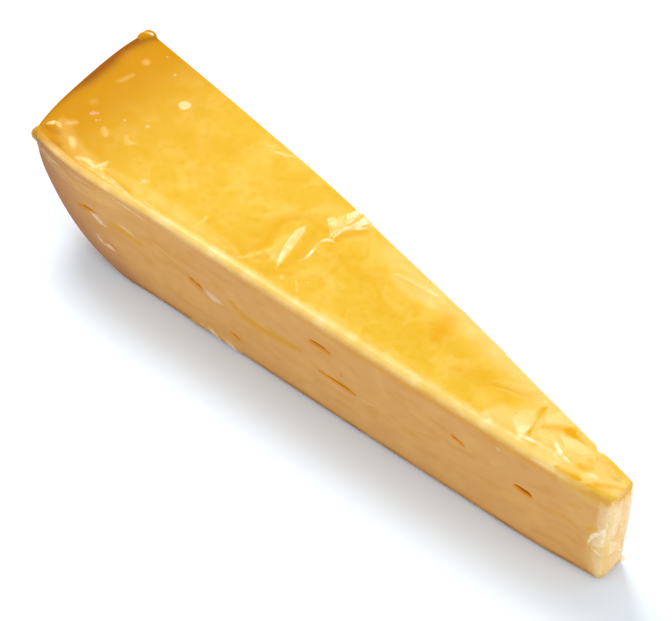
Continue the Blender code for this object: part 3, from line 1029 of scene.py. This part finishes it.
# Each row of a fold is its path, half width, height, how milky it is (partly a painted highlight)
# and crest, and its place in the table picks its noise.
FOLDS = rows(Fold, Face.TOP, (
    (((84.4, -5.4), (85.1, -4), (85.2, -1.9), (84.8, 0.2), (84.3, 2.2), (84.5, 4.6)), 0.52, 0.25, 1.1),
    (((84, 3), (85.1, 5.2), (87.6, 6.1)), 0.6, 0.25, 1),
    (((87.2, 5.4), (85.9, 6.6), (85.8, 8.7), (86.1, 10.9), (88.4, 13.5), (91.4, 17)), 0.55, 0.3, 1.1),
    (((83.4, 8), (84.6, 10.8), (85.6, 14), (85.9, 17.6)), 0.45, 0.25, 0.8),
    (((81.6, 12.2), (83.6, 11.4), (85.4, 8.8)), 0.45, 0.22, 0.8),
    (((84.4, 12.4), (85.3, 15.4), (86.2, 18.4)), 0.5, 0.25, 0.9),
    (((86.8, -8.8), (90, -11.2), (92.7, -13.8)), 0.4, 0.12, 0.4),
    (((72, -15.6), (73.4, -13.8)), 0.4, 0.15, 0.7),
    (((50.2, 16.9), (53, 18), (55.2, 19.4)), 0.5, 0.15, 0.4),
    (((106.5, 9.8), (110.5, 10.5), (114.8, 11.4)), 0.6, 0.12, 0.35),
    (((116, 11), (120.6, 13.5)), 0.6, 0.12, 0.35),
    (((131.8, 9.9), (133.5, 11.5)), 0.3, 0.1, 0.6),
    (((145, -0.9), (149.2, 1.5), (154.3, 3.3), (158.6, 5.6)), 0.5, 0.12, 0.3),
    (((158.2, -2.4), (159.2, -4.2), (161.4, -5.6), (165, -4.7), (168.8, -3.8)), 0.6, 0.25, 1.1),
    (((160.6, -3.4), (161.6, -4.6), (163.4, -5.2)), 0.5, 0.2, 0.9),
    (((156.4, -7.2), (160, -6.9), (165.6, -6)), 0.7, 0.2, 0.9),
    (((166.6, 0.4), (169.4, -1.2), (173, -2.7), (177.4, -3.2)), 0.8, 0.3, 1.2),
    (((165, -2.4), (170.1, -2.8)), 0.4, 0.2, 0.7),
    (((166.6, -4.6), (170.8, -4), (175.4, -4.8)), 0.7, 0.2, 0.9),
    (((168, 1.8), (171.4, 1), (176.8, 2.6)), 0.8, 0.2, 0.7),
    (((172.4, 5.4), (175.4, 4.4), (178.2, 5.2)), 0.5, 0.25, 0.5),
    (((180.4, -4.6), (181.9, -2.6), (185.4, -1.8)), 0.75, 0.2, 1),
    (((180.4, 4.4), (184, 4.6), (187.4, 3.2)), 0.5, 0.25, 0.3),
    (((188.6, -3.4), (189.4, 0.4), (188.8, 3.4)), 0.5, 0.2, 0.4),
    (((2.4, -19.3), (4, -17.1), (7, -17.4)), 0.75, 0.18, 0.85),
    (((16, -22.2), (20.4, -21.9), (25.1, -21.4), (31, -21), (37.2, -20.5), (44.4, -20)), 0.55, 0.2, 0.8),
    (((17.4, -21), (21, -20.2), (25, -20.9)), 0.5, 0.15, 0.6),
    (((24.6, -20.6), (28.8, -20.3), (34.4, -20.1)), 0.5, 0.2, 0.75),
    (((36, -19.6), (42, -19.2), (49, -18.9)), 0.4, 0.15, 0.5),
)) + rows(Fold, Face.NEAR, (
    (((26, 15.2), (29.2, 13.4), (32.6, 10.8)), 0.45, 0.15, 0.5),
    (((24.6, 12.8), (27.9, 11.4), (31.9, 12.3)), 0.4, 0.12, 0.5),
    (((44.6, 26.6), (50.8, 24.6), (57, 23.4)), 0.4, 0.1, 0.3),
    (((64, 18.6), (68, 16.8)), 0.4, 0.1, 0.35),
    (((114.2, 16.5), (117.6, 16.4), (121.5, 17.1)), 0.35, 0.1, 0.5),
    (((155.4, 24.9), (158.8, 24.8)), 0.25, 0.1, 0.4),
    (((157.6, 32.4), (159, 31.8)), 0.6, 0.1, 0.6),
    (((5, 34.4), (9.5, 33.4), (14, 33.6)), 0.5, 0.15, 0.4),
    (((16, 34.6), (21, 34.4), (27, 35.2)), 0.45, 0.12, 0.35),
    (((31.4, 35.4), (38, 34.8), (45.2, 33.9)), 0.4, 0.12, 0.6),
    (((7.8, 32.8), (10, 31.6), (12.6, 29.6)), 0.45, 0.12, 0.25),
    (((186.2, 13), (187.4, 19), (189.4, 22.3), (190.9, 28)), 0.8, 0.4, 1.2, -0.4),
    (((186.8, 13.6), (188.9, 12.8), (190.8, 11.9)), 0.6, 0.35, 1.1),
    (((190.6, 36.4), (190.2, 30), (190.4, 24.4)), 0.7, 0.3, 0.8, 0.5),
)) + rows(Fold, Face.TIP, (
    (((-3.6, 36.2), (-3, 28), (-3.6, 20), (-2.6, 13)), 0.6, 0.35, 0.85),
    (((-1, 35.6), (-0.4, 26), (0.8, 18.6), (-0.6, 12)), 0.5, 0.3, 0.6),
    (((1.9, 35), (2.4, 25), (1.6, 15)), 0.6, 0.3, 0.7),
    (((-4, 18.2), (-1.2, 16.6), (2.6, 13)), 0.5, 0.3, 0.8),
    (((-3.6, 9.4), (0.6, 9.8), (2.6, 5)), 0.6, 0.3, 0.8),
))


def far_copies(items: Sequence[Mark | Fold], form: WedgeForm) -> tuple[Mark | Fold, ...]:
    """Gives the far cut the near cut's marks or folds, run back from the tip and upside down.

    Args:
        items: marks or folds, of which only those on the near cut are copied.
        form: the wedge's form.

    Returns:
        The copies that fall well inside the far cut.
    """
    copies = []
    for item in items:
        path = tuple((form.length + FAR_SHIFT - along, form.height - height) for along, height in item.path)
        inside = min(path)[0] > FAR_START and max(path)[0] < form.length - FAR_END
        if item.face is Face.NEAR and inside:
            copies.append(replace(item, face=Face.FAR, path=path))
    return tuple(copies)


@dataclass
class Cheese:
    """The paste: the wedge a film's thickness inside the skin, with eyes sunk in both cuts.

    Each zone of the browner heel has a share, a reach and a power. The pairs say where a shade
    starts and where it is full.
    """

    form: WedgeForm = field(default_factory=lambda: WedgeForm(inset=0.22))
    cells: Cells = (330, 44, 62)
    along_cells: Pair = (0.85, 0.4)
    heel_zones: tuple[Triple, ...] = ((0.74, 26.0, 1.3), (0.26, 2.6, 2.0))
    heel_ragged: float = 1.2
    heel_slant: float = 12.0
    band_share: float = 0.7
    band_height: Pair = (32.5, 35.5)
    band_along: Pair = (60.0, 140.0)
    foot_height: Pair = (3.2, 0.7)
    heel_edge: Pair = (1.6, 0.2)
    edge_shade: float = 0.8
    heel_rind: Pair = (0.9, 0.1)
    base_rind: Pair = (0.7, 0.0)
    finish: PasteFinish = field(default_factory=PasteFinish)

    def build(self, marks: Sequence[Mark]) -> bpy.types.Object:
        """Builds the paste and dresses it.

        Args:
            marks: the film's marks, whose lifts and hollows, and whose painted shade, the paste shares.

        Returns:
            The finished piece.
        """
        skin, quads = self.form.skin(self.cells, self.along_cells)
        eyes = EYES + far_copies(EYES, self.form)
        depth = [mark.strength(*skin.coordinates(mark.face)) * skin.weight(mark.face) for mark in eyes]
        skin.push(eyes)
        skin.push(marks)
        band = smooth(*self.band_height, skin.height) * smooth(*self.band_along, skin.along)
        values = {
            "top": skin.weight(Face.TOP),
            "heel": self.heel_shade(skin),
            "band": self.band_share * band,
            "foot": self.foot_shade(skin),
            "rind": self.rind_share(skin),
            # Painted shade under the film's valleys and creases.
            "valley_shade": skin.gather(marks, "valley_shade"),
            # How deep each slit is, which sets its painted shade.
            "eye": np.maximum.reduce(depth),
        }
        piece = make_piece("cheese_paste", self.form.to_row(skin.place), quads.tolist(), values)
        piece.data.materials.append(self.finish.material("cheese_paste"))
        return piece

    def heel_shade(self, skin: Skin) -> Array:
        """The browner zone under the rind: strongest at the heel's edge, wider at its far end."""
        ragged = self.heel_ragged * drift(skin.along, skin.across, size=7.0, seed=3)
        gap = np.clip(skin.straight + ragged - skin.across / self.heel_slant, 0.0, None)
        return sum(share * np.exp(-((gap / reach) ** power)) for share, reach, power in self.heel_zones)

    def foot_shade(self, skin: Skin) -> Array:
        """The brown line along the cuts' foot, uneven, and a fainter one up the heel's edge."""
        uneven = 0.8 + 0.35 * drift(skin.along, skin.height, size=6.0, seed=5)
        foot = smooth(*self.foot_height, skin.height) * uneven
        edge = self.edge_shade * smooth(*self.heel_edge, skin.straight)
        return np.clip(np.maximum(foot, edge), 0.0, 1.0)

    def rind_share(self, skin: Skin) -> Array:
        """Where the wheel's own rind shows: on the heel and on the base."""
        heel = np.where(skin.outward[:, 0] < 0, smooth(*self.heel_rind, skin.inside[:, 0]), 0.0)
        base = np.where(skin.outward[:, 2] < 0, smooth(*self.base_rind, skin.inside[:, 2]), 0.0)
        return np.maximum(heel, base)


@dataclass
class Film:
    """The cling film: a closed skin round the paste, lifted in folds, facets and gathers.

    Each long edge of the top has a pale rim, a painted highlight. Its pairs say where it starts
    and where it is full, first inwards from the edge and then along it, from the heel and from the tip.
    """

    form: WedgeForm = field(default_factory=WedgeForm)
    cells: Cells = (370, 62, 62)
    along_cells: Pair = (0.85, 0.32)
    near_highlight: float = 0.6
    near_edge: Pair = (4.0, 1.5)
    near_slim: Pair = (70.0, 15.0)
    near_heel: Pair = (2.0, 12.0)
    near_tip: Pair = (188.0, 172.0)
    near_least: float = 0.3
    far_highlight: float = 0.5
    far_edge: Pair = (9.5, 1.0)
    far_heel: Pair = (85.0, 110.0)
    far_tip: Pair = (178.0, 158.0)
    far_least: float = 0.2
    side_share: float = 0.12
    side_narrower: float = 1.8
    slimmest: float = 0.8
    finish: FilmFinish = field(default_factory=FilmFinish)

    def build(self, marks: Sequence[Mark]) -> bpy.types.Object:
        """Builds the film and dresses it.

        Args:
            marks: the folds, facets, streaks and spots.

        Returns:
            The finished piece.
        """
        skin, quads = self.form.skin(self.cells, self.along_cells)
        skin.push(marks)
        # Milky film and painted highlights, the pale rim's among them.
        values = {"milk_and_highlight": np.clip(skin.gather(marks, "milk_and_highlight") + self.rim(skin), 0.0, 1.0)}
        piece = make_piece("cling_film", self.form.to_row(skin.place), quads.tolist(), values)
        self.finish.dress(piece, self.finish.material("cling_film"))
        return piece

    def rim(self, skin: Skin) -> Array:
        """Painted highlight: the pale line where the film is stretched over the top face's long edges."""
        edge = np.hypot(skin.inside[:, 1], self.side_narrower * skin.inside[:, 2])
        slim = 1.0 + self.slimmest * smooth(*self.near_slim, skin.along)
        near = self.near_highlight * smooth(*self.near_edge, edge * slim)
        for ends in (self.near_heel, self.near_tip):
            near *= fade(self.near_least, ends, skin.along)
        far = self.far_highlight * smooth(*self.far_edge, edge) * smooth(*self.far_heel, skin.along)
        far *= fade(self.far_least, self.far_tip, skin.along)
        uneven = 1.0 + 0.3 * drift(skin.along, skin.across, size=3.0, seed=21)
        side = np.where(skin.outward[:, 2] > 0, 1.0, self.side_share)
        return np.where(skin.across < 0.0, near, far) * uneven * side


@dataclass
class FilmFolds:
    """All the folds and facets that stand on the film, each a closed surface, in one piece.

    A fold has rings of upper and lower points. Its feet are sunk into the film, its unevenness
    has the wave's length, and its milky film, partly a painted highlight, starts over the feather's
    share of its width. taper_powers shape how its width and height end, and flank_powers its gentle
    and its steep side. A facet has spokes and steps, and its milky film ends over its outer share,
    from patch_edge on. A painted reflection whitens the folds of the cuts: coolest up to cool_reach
    along the near cut, less elsewhere.
    """

    form: WedgeForm
    marks: Sequence[Mark]
    folds: Sequence[Fold]
    patches: Sequence[Facet]
    rings: int = 44
    upper: int = 13
    lower: int = 5
    sunk: float = 0.12
    wave: float = 2.1
    feather: float = 0.6
    spokes: int = 56
    steps: int = 10
    taper_powers: Pair = (0.6, 0.7)
    flank_powers: Pair = (1.5, 0.8)
    patch_edge: float = 0.8
    cool_reach: float = 80.0
    coolest: float = 0.85
    cool_reflection: float = 0.3

    def build(self, finish: FilmFinish, material: bpy.types.Material) -> bpy.types.Object:
        """Builds the piece.

        Args:
            finish: the film's finish.
            material: the film's material.

        Returns:
            The finished piece.
        """
        around = self.upper + self.lower
        shapes = [
            (fold.face, fold.path, self.rings, around, self.strip(fold, number))
            for number, fold in enumerate(self.folds)
        ]
        shapes += [
            (patch.face, patch.corners, 2 * self.steps - 1, self.spokes, self.star(patch))
            for patch in self.patches
        ]
        places, milk_and_highlights, cool_reflections, faces = [], [], [], []
        start = 0
        for face, path, rings, around, (place, milk_and_highlight) in shapes:
            places.append(place)
            milk_and_highlights.append(milk_and_highlight)
            cool_reflections.append(np.full(len(place), self.coolness(face, path)))
            faces += self.join(start, rings, around, face is Face.FAR)
            start += len(place)
        values = {"milk_and_highlight": np.concatenate(milk_and_highlights), "cool_reflection": np.concatenate(cool_reflections)}
        piece = make_piece("film_folds", self.form.to_row(np.concatenate(places)), faces, values)
        finish.dress(piece, material)
        return piece

    def coolness(self, face: Face, path: Path) -> float:
        """How much painted reflection whitens a fold: most by the heel on the near cut, not at all on top.
        """
        if face is Face.TOP:
            return 0.0
        return self.coolest if face is Face.NEAR and path[0][0] < self.cool_reach else self.cool_reflection

    def strip(self, fold: Fold, number: int) -> tuple[Array, Array]:
        """Carries a fold's section along its path.

        The section's width and height taper to both ends like a half sine to a power, and soft
        noise makes the path, the width and the height uneven. On the section the gentle side
        rises as a power of the share of its width, and the steep side falls as another.

        Args:
            fold: the fold.
            number: its number, which picks the noise.

        Returns:
            The points, ring by ring and then the two ends, and their milkiness.
        """
        curve = smooth_path(fold.path, self.rings + 2)
        direction = np.gradient(curve, axis=0)
        direction /= np.linalg.norm(direction, axis=1, keepdims=True)
        left = np.stack((-direction[:, 1], direction[:, 0]), axis=1)
        part = np.linspace(0.0, 1.0, self.rings + 2)
        walked = part * distances(curve)[-1]
        lane = np.full_like(walked, 7.7 * number)
        noise = [drift(walked, lane, size=self.wave / (1 + turn), seed=40 + turn) for turn in range(3)]
        curve = curve + left * (fold.wobble * fold.half_width * noise[0] * 1.5)[:, None]
        taper = np.sin(np.pi * part)
        width = fold.half_width * taper ** self.taper_powers[0] * (1.0 + fold.wobble * noise[1]) + 0.02
        height = fold.height * taper ** self.taper_powers[1] * (1.0 + 1.2 * fold.wobble * noise[2])
        over = np.linspace(-1.0, 1.0, self.upper)
        under = np.linspace(1.0, -1.0, self.lower + 2)[1:-1]
        gentle = np.clip((over + 1.0) / (fold.crest + 1.0), 0.0, 1.0) ** self.flank_powers[0]
        steep = np.clip((1.0 - over) / (1.0 - fold.crest), 0.0, 1.0) ** self.flank_powers[1]
        foot = np.sign(fold.crest)
        cover = smooth(-foot, -foot + foot * self.feather, over) * smooth(foot, fold.crest, over)
        side = np.concatenate((over, under))
        rise = np.append(np.minimum(gentle, steep), np.zeros(self.lower))
        cover = np.append(cover, np.zeros(self.lower))
        flat = curve[:, None, :] + left[:, None, :] * (side * width[:, None])[:, :, None]
        lift = self.relief(fold.face, flat) + rise * (height[:, None] + self.sunk) - self.sunk
        place = self.form.on_face(fold.face, flat[..., 0], flat[..., 1], lift)
        milk_and_highlight = fold.milk_and_highlight * (0.85 + 0.3 * noise[1][:, None]) * cover * np.sqrt(taper)[:, None]
        ends = place[[0, -1]].mean(axis=1)
        place = np.concatenate((place[1:-1].reshape(-1, 3), ends))
        return place, np.concatenate((milk_and_highlight[1:-1].ravel(), np.zeros(2)))

    def star(self, patch: Facet) -> tuple[Array, Array]:
        """Spreads a facet from its centre to its outline, above and then back below.

        Args:
            patch: the facet.

        Returns:
            The points, ring by ring and then the two centres, and their milkiness.
        """
        corners = np.array(patch.corners)
        area = np.roll(corners[:, 0], -1) * corners[:, 1] - corners[:, 0] * np.roll(corners[:, 1], -1)
        corners = corners if area.sum() > 0.0 else corners[::-1]
        closed = np.concatenate((corners, corners[:1]))
        walked = distances(closed)
        around = np.linspace(0.0, walked[-1], self.spokes, endpoint=False)
        outline = np.stack([np.interp(around, walked, column) for column in closed.T], axis=1)
        centre = outline.mean(axis=0)
        share = np.linspace(0.0, 1.0, self.steps + 1)
        share = np.concatenate((share, share[-2::-1]))
        flat = centre + share[:, None, None] * (outline - centre)
        below = np.arange(len(share)) > self.steps
        rise = np.where(below, -self.sunk, patch.height * (1.0 - share**3))[:, None]
        lift = self.relief(patch.face, flat) + rise
        place = self.form.on_face(patch.face, flat[..., 0], flat[..., 1], lift)
        uneven = 0.2 * drift(flat[..., 0], flat[..., 1], size=1.7, seed=8)
        uneven += 1.0 + ((flat - centre) * patch.fade).sum(axis=-1)
        edge = np.where(below, 0.0, smooth(1.0, self.patch_edge, share))
        milk_and_highlight = patch.milk_and_highlight * edge[:, None] * np.clip(uneven, 0.0, 1.4)
        place = np.concatenate((place[1:-1].reshape(-1, 3), place[[0, -1], 0]))
        return place, np.concatenate((milk_and_highlight[1:-1].ravel(), (patch.milk_and_highlight, 0.0)))

    def relief(self, face: Face, flat: Array) -> Array:
        """How far the film's skin stands off its face under points of it."""
        first, second = flat.reshape(-1, 2).T
        lifted = [mark for mark in self.marks if mark.face is face and mark.lift != 0.0]
        total = sum((mark.lift * mark.strength(first, second) for mark in lifted), np.zeros(len(first)))
        return total.reshape(flat.shape[:-1])

    def join(self, start: int, rings: int, around: int, turned: bool) -> list[list[int]]:
        """Joins rings of points and two ends to a closed surface.

        Args:
            start: index of the first point.
            rings: number of rings.
            around: number of points in a ring.
            turned: whether the faces are turned round.

        Returns:
            The faces: quads between rings and triangles to both ends.
        """
        index = start + np.arange(rings * around).reshape(rings, around)
        after = np.roll(index, -1, axis=1)
        quads = np.stack((index[:-1], index[1:], after[1:], after[:-1]), axis=-1).reshape(-1, 4)
        first = np.full(around, start + rings * around)
        caps = np.concatenate((
            np.stack((index[0], after[0], first), axis=-1),
            np.stack((after[-1], index[-1], first + 1), axis=-1),
        ))
        faces = quads.tolist() + caps.tolist()
        return [face[::-1] for face in faces] if turned else faces


@dataclass(frozen=True)
class Lump:
    """A small crumpled bulge: an ellipsoid turned about the upright, dented by soft noise."""

    name: str
    centre: Triple
    radii: Triple
    turn: float
    milk_and_highlight: float = 0.5
    core: float = 0.0
    crumple: float = 0.1
    grain: float = 2.4
    cells: int = 18

    def build(self, form: WedgeForm, share: float) -> tuple[Array, Array, Array]:
        """Works out the bulge: a cube's grid pushed out to a ball, scaled, dented and turned.

        Args:
            form: the wedge's form, for its frame.
            share: share of the full size.

        Returns:
            Points in metres, quads and milkiness.
        """
        ball, quads = Lattice((self.cells,) * 3).ball()
        shape = ball * self.radii * share
        first = shape[:, 0] + shape[:, 2]
        dent = drift(first, shape[:, 1] - shape[:, 2], size=self.grain, seed=11)
        shape *= (1.0 + self.crumple * (dent - 0.6))[:, None]
        along, across = rotated(shape[:, 0], shape[:, 1], self.turn)
        place = np.stack((along, across, shape[:, 2]), axis=1) + self.centre
        milk_and_highlight = np.clip(self.milk_and_highlight * (1.0 + 0.8 * dent), 0.0, 1.0)
        return form.to_row(place), quads, milk_and_highlight


LUMPS = (
    Lump("heel_nub", (-1.3, 21.9, 36.8), (3.2, 2.5, 2.2), 60.0, milk_and_highlight=0.04, core=0.9),
    Lump("nub_glint", (-1.2, 22.3, 38.1), (1.8, 0.65, 0.6), 26.0, milk_and_highlight=0.85),
    Lump("near_nub", (2.0, -21.4, 35.0), (2.6, 2.0, 3.0), 40.0, milk_and_highlight=0.32, core=0.92),
    Lump("edge_flap", (87.6, 17.0, 36.9), (4.3, 1.25, 1.5), -9.0, milk_and_highlight=0.3),
    Lump("tip_flap", (190.8, 2.8, 2.3), (1.8, 1.15, 1.25), 20.0, milk_and_highlight=0.4),
)


@dataclass
class Gathers:
    """Where the film is bunched up at the wedge's corners and edges."""

    lumps: tuple[Lump, ...] = LUMPS
    core_heel: float = 0.72

    def build(
        self, form: WedgeForm, finish: FilmFinish, film: bpy.types.Material, paste: bpy.types.Material
    ) -> list[bpy.types.Object]:
        """Builds each bulge as a piece of the film, and its core of paste where it has one.

        Args:
            form: the wedge's form.
            finish: the film's finish.
            film: the film's material.
            paste: the paste's material.

        Returns:
            The pieces.
        """
        pieces = []
        for lump in self.lumps:
            points, quads, milk_and_highlight = lump.build(form, 1.0)
            pieces.append(make_piece(lump.name, points, quads.tolist(), {"milk_and_highlight": milk_and_highlight}))
            finish.dress(pieces[-1], film)
            if lump.core > 0.0:
                points, quads, _ = lump.build(form, lump.core)
                shade = {"top": np.ones(len(points)), "heel": np.full(len(points), self.core_heel)}
                pieces.append(make_piece(f"{lump.name}_core", points, quads.tolist(), shade))
                pieces[-1].data.materials.append(paste)
        return pieces


SPECKS = (
    (24.9, 11.4, 2.0, 1.6, 20.0),
    (8.8, 20.3, 0.4, 0.3, 0.0),
    (15.0, 17.2, 0.45, 0.3, 30.0),
    (8.9, -7.9, 1.0, 0.8, 50.0),
    (9.9, -7.0, 0.5, 0.4, 10.0),
    (23.1, -0.8, 0.4, 0.3, 70.0),
    (11.4, -8.9, 0.35, 0.3, 0.0),
    (12.1, -8.2, 0.25, 0.2, 0.0),
    (17.0, -3.6, 0.3, 0.25, 0.0),
    (85.0, -11.7, 0.34, 0.26, 0.0),
    (91.2, -8.3, 0.28, 0.24, 0.0),
    (36.2, -14.7, 0.5, 0.35, 10.0),
    (161.6, -1.6, 0.35, 0.3, 0.0),
    (175.6, -3.0, 0.4, 0.3, 0.0),
)


@dataclass
class Crystals:
    """The pale crystals of the paste at true size, flat domes half sunk in the top.

    Each speck is its place along and across, its two half widths and its turn in degrees. The
    specks fade at their rims, as the paste is slightly clear, so they cast no shadow. Those by
    the heel are pinker.
    """

    specks: tuple[tuple[float, float, float, float, float], ...] = SPECKS
    rise: float = 0.05
    fade: float = 0.3
    cells: int = 8
    colour: Colour = (234, 196, 128)
    blush: Colour = (216, 146, 84)
    blush_along: Pair = (14.0, 9.0)

    def build(self, form: WedgeForm) -> bpy.types.Object:
        """Builds all crystals in one piece, each a cube's grid pushed out to a flat ball.

        Args:
            form: the paste's form.

        Returns:
            The finished piece.
        """
        ball, quads = Lattice((self.cells,) * 3).ball()
        places, faces, blush = [], [], []
        for number, (along, across, long_half, short_half, turn) in enumerate(self.specks):
            dent = 1.0 + 0.15 * drift(ball[:, 0] + number, ball[:, 1], size=0.8, seed=14)
            sides = rotated(ball[:, 0] * long_half, ball[:, 1] * short_half, turn)
            first = along + dent * sides[0]
            places.append(form.on_face(Face.TOP, first, across + dent * sides[1], self.rise * ball[:, 2]))
            faces.append(quads + number * len(ball))
            blush.append(smooth(*self.blush_along, first))
        core = 1.0 - np.linalg.norm(ball[:, :2], axis=1)
        values = {"blush": np.concatenate(blush), "core": np.tile(core, len(self.specks))}
        points = form.to_row(np.concatenate(places))
        piece = make_piece("crystals", points, np.concatenate(faces).tolist(), values)
        graph = ShaderGraph("crystals")
        colour = graph.mix(graph.number("blush"), self.colour, self.blush)
        alpha = graph.number("core").rise(0.0, self.fade)
        piece.data.materials.append(graph.surface({"Base Color": colour, "Roughness": 0.6, "Alpha": alpha}))
        piece.visible_shadow = False
        piece.visible_diffuse = False
        return piece


@dataclass(frozen=True)
class Softbox:
    """One square studio light: where it stands, how wide it is and how strong."""

    name: str
    place: Triple
    size: float
    power: float

    def build(self, target: Vector) -> None:
        """Adds the light, turned to its target."""
        data = bpy.data.lights.new(self.name, "AREA")
        data.size = self.size
        data.energy = self.power
        item = bpy.data.objects.new(self.name, data)
        item.location = self.place
        item.rotation_euler = (target - Vector(self.place)).to_track_quat("-Z", "Y").to_euler()
        bpy.context.scene.collection.objects.link(item)


@dataclass(frozen=True)
class Studio:
    """White ground, plain soft light and the camera, which looks down from the near side."""

    elevation: float = 54.0
    turn: float = 44.0
    distance: float = 0.6743
    target: Triple = (-0.010796, 0.009921, 0.0)
    lit_height: float = 0.015
    focal_pixels: float = 2450.0
    picture_width: float = 672.0
    sensor_width: float = 36.0
    ground_size: float = 3.0
    ground_colour: Triple = (0.83, 0.92, 1.0)
    sky: float = 0.8
    boxes: tuple[Softbox, ...] = (
        Softbox("key_light", (-0.50, 0.26, 0.78), 0.36, 5.6),
        Softbox("fill_light", (0.60, 0.05, 0.30), 0.4, 0.9),
    )

    def build(self) -> None:
        """Builds the ground, the world's light, the softboxes and the camera."""
        self.ground()
        world = bpy.data.worlds.new("studio")
        world.use_nodes = True
        sky = world.node_tree.nodes["Background"].inputs
        sky["Color"].default_value = (1.0, 1.0, 1.0, 1.0)
        sky["Strength"].default_value = self.sky
        bpy.context.scene.world = world
        for box in self.boxes:
            box.build(Vector((0.0, 0.0, self.lit_height)))
        self.camera()
        bpy.context.scene.view_settings.view_transform = "Standard"

    def ground(self) -> None:
        """A wide white floor at the height of the wedge's base."""
        half = self.ground_size / 2.0
        points = [(-half, -half, 0.0), (half, -half, 0.0), (half, half, 0.0), (-half, half, 0.0)]
        mesh = bpy.data.meshes.new("ground")
        mesh.from_pydata(points, [], [(0, 1, 2, 3)])
        floor = bpy.data.objects.new("ground", mesh)
        graph = ShaderGraph("ground")
        mesh.materials.append(graph.surface({"Base Color": (*self.ground_colour, 1.0), "Roughness": 0.9}))
        bpy.context.scene.collection.objects.link(floor)

    def camera(self) -> None:
        """A long lens at the photograph's angle."""
        down, turn = math.radians(self.elevation), math.radians(self.turn)
        level = math.cos(down)
        back = Vector((math.sin(turn) * level, -math.cos(turn) * level, math.sin(down)))
        right = Vector((math.cos(turn), math.sin(turn), 0.0))
        up = back.cross(right)
        data = bpy.data.cameras.new("camera")
        data.sensor_width = self.sensor_width
        data.lens = self.focal_pixels / self.picture_width * self.sensor_width
        item = bpy.data.objects.new("camera", data)
        aim = Matrix((right, up, back)).transposed().to_4x4()
        item.matrix_world = Matrix.Translation(Vector(self.target) + back * self.distance) @ aim
        bpy.context.scene.collection.objects.link(item)
        bpy.context.scene.camera = item


def main() -> None:
    """Builds the cheese, its film and the studio, and reports each piece."""
    logging.basicConfig(level=logging.INFO, format="%(name)s: %(message)s")
    form = WedgeForm()
    finish = FilmFinish()
    marks = MARKS + far_copies(MARKS, form)
    cheese = Cheese()
    paste = cheese.build(marks)
    film = Film(finish=finish).build(marks)
    material = film.data.materials[0]
    ridges = FilmFolds(form, marks, FOLDS + far_copies(FOLDS, form), FACETS).build(finish, material)
    crystals = Crystals().build(cheese.form)
    gathers = Gathers().build(form, finish, material, paste.data.materials[0])
    for piece in [paste, film, crystals, ridges, *gathers]:
        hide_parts(NODE)
        log.info("%s has %d faces", piece.name, len(piece.data.polygons))
    Studio().build()


if __name__ == "__main__":
    main()
